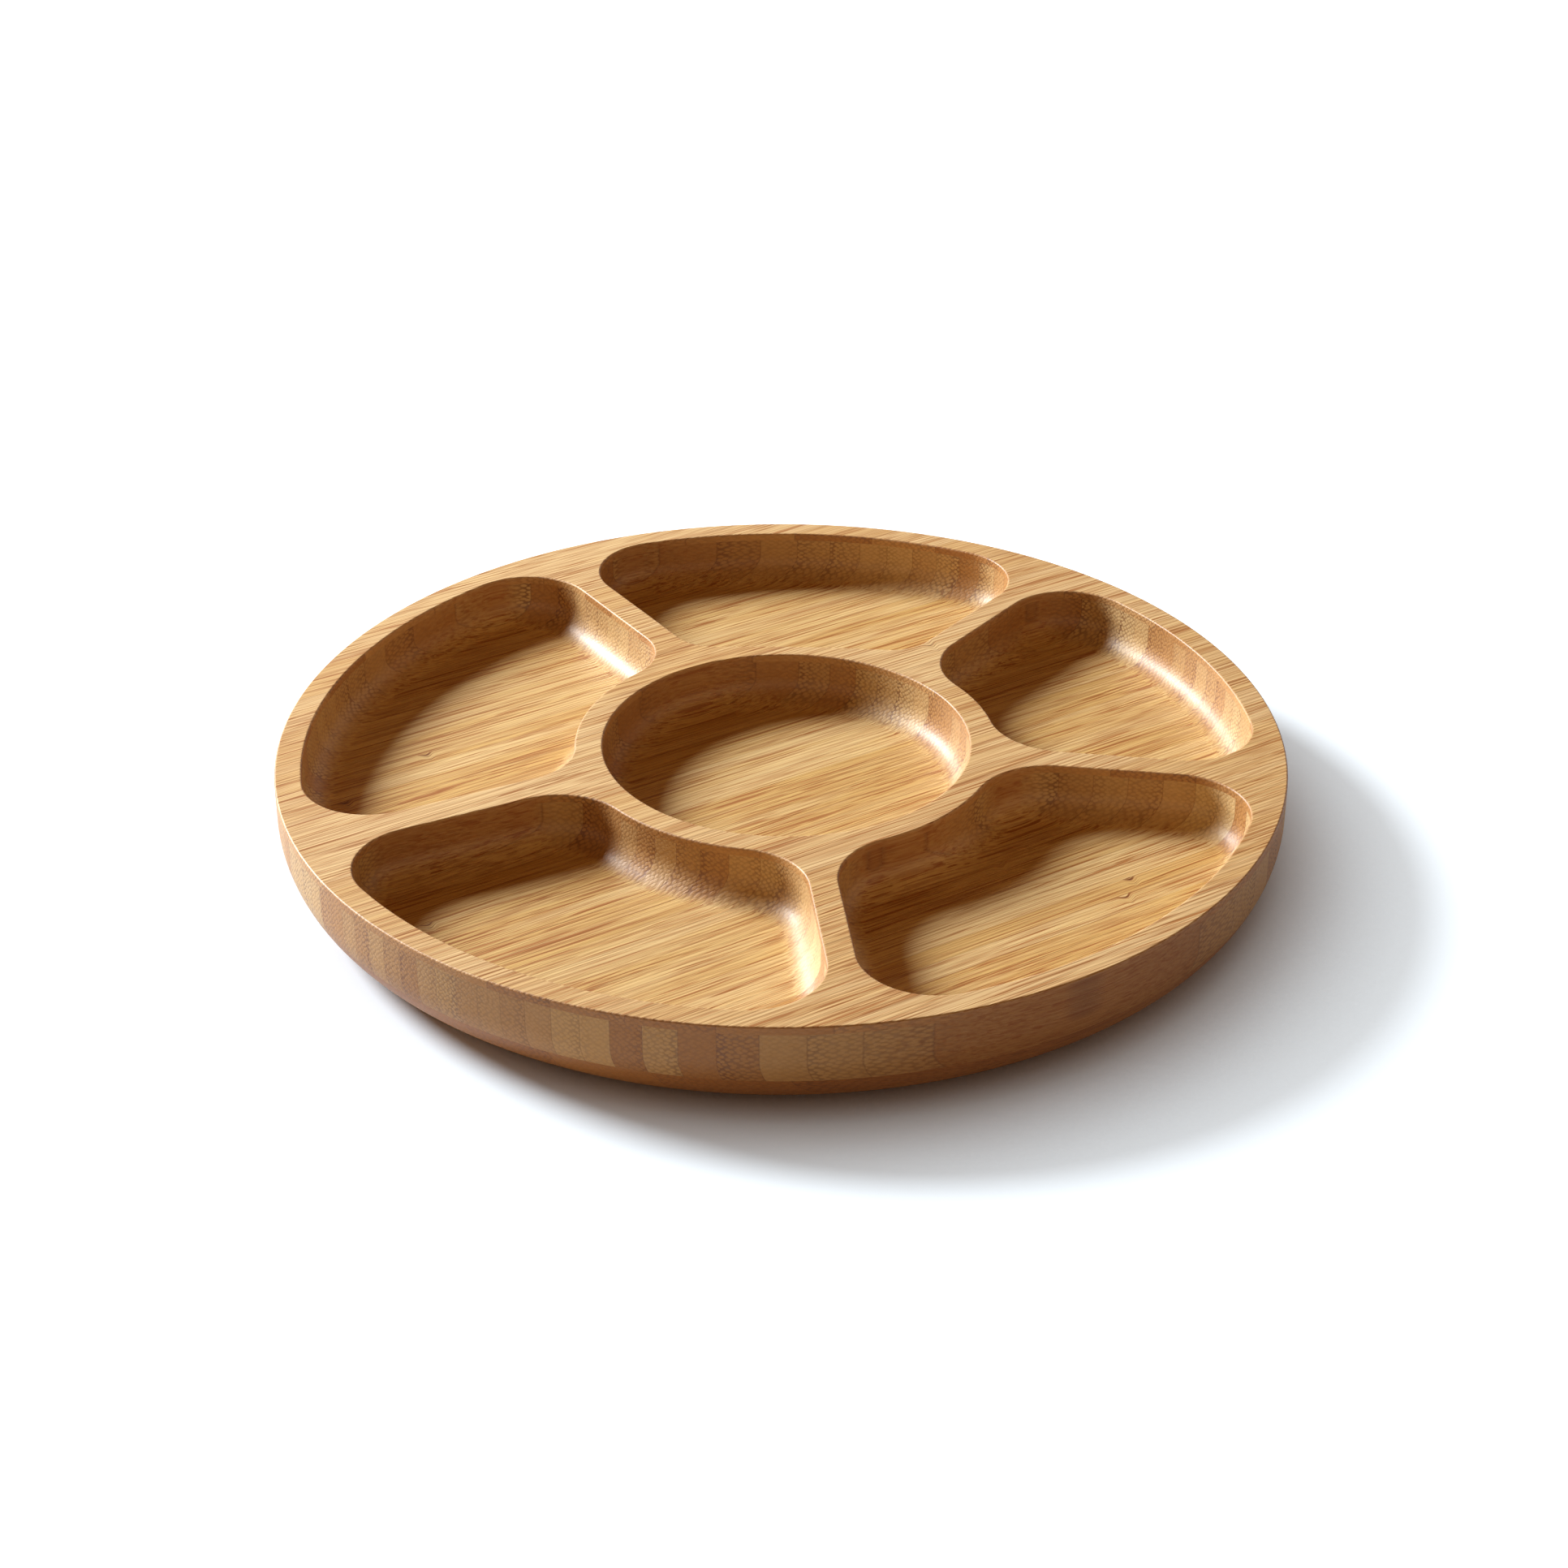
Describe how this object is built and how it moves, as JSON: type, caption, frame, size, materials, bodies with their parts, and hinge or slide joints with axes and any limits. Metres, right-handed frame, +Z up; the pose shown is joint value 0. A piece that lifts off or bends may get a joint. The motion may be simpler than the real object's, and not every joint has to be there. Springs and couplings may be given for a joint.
{
  "type": "divided bamboo tray",
  "caption": "Round divided serving tray routed from a laminated bamboo board, with a round centre well, curved wells around it, coved floors and a rounded lower edge.",
  "frame": {"origin": "middle of the flat bottom, where the tray rests", "axes": "+Z up, out of the wells; +X along the bamboo fibres; +Y across the strips"},
  "size_m": [0.3, 0.3, 0.031],
  "materials": {
    "face_bamboo": "sanded, satin lacquer",
    "core_bamboo": "routed, satin lacquer",
    "base_bamboo": "turned, satin lacquer"
  },
  "bodies": {
    "root": {"face_ply": "face_bamboo", "core_strip_01": "core_bamboo", "core_strip_02": "core_bamboo", "core_strip_03": "core_bamboo", "core_strip_04": "core_bamboo", "core_strip_05": "core_bamboo", "core_strip_06": "core_bamboo", "core_strip_07": "core_bamboo", "core_strip_08": "core_bamboo", "core_strip_09": "core_bamboo", "core_strip_10": "core_bamboo", "core_strip_11": "core_bamboo", "core_strip_12": "core_bamboo", "core_strip_13": "core_bamboo", "core_strip_14": "core_bamboo", "core_strip_15": "core_bamboo", "core_strip_16": "core_bamboo", "core_strip_17": "core_bamboo", "core_strip_18": "core_bamboo", "core_strip_19": "core_bamboo", "core_strip_20": "core_bamboo", "core_strip_21": "core_bamboo", "core_strip_22": "core_bamboo", "core_strip_23": "core_bamboo", "core_strip_24": "core_bamboo", "core_strip_25": "core_bamboo", "core_strip_26": "core_bamboo", "core_strip_27": "core_bamboo", "core_strip_28": "core_bamboo", "core_strip_29": "core_bamboo", "core_strip_30": "core_bamboo", "core_strip_31": "core_bamboo", "core_strip_32": "core_bamboo", "core_strip_33": "core_bamboo", "core_strip_34": "core_bamboo", "core_strip_35": "core_bamboo", "core_strip_36": "core_bamboo", "core_strip_37": "core_bamboo", "core_strip_38": "core_bamboo", "core_strip_39": "core_bamboo", "core_strip_40": "core_bamboo", "core_strip_41": "core_bamboo", "core_strip_42": "core_bamboo", "core_strip_43": "core_bamboo", "core_strip_44": "core_bamboo", "core_strip_45": "core_bamboo", "base_strip_01": "base_bamboo", "base_strip_02": "base_bamboo", "base_strip_03": "base_bamboo", "base_strip_04": "base_bamboo", "base_strip_05": "base_bamboo", "base_strip_06": "base_bamboo", "base_strip_07": "base_bamboo", "base_strip_08": "base_bamboo", "base_strip_09": "base_bamboo", "base_strip_10": "base_bamboo", "base_strip_11": "base_bamboo", "base_strip_12": "base_bamboo", "base_strip_13": "base_bamboo"}
  },
  "joints": []
}
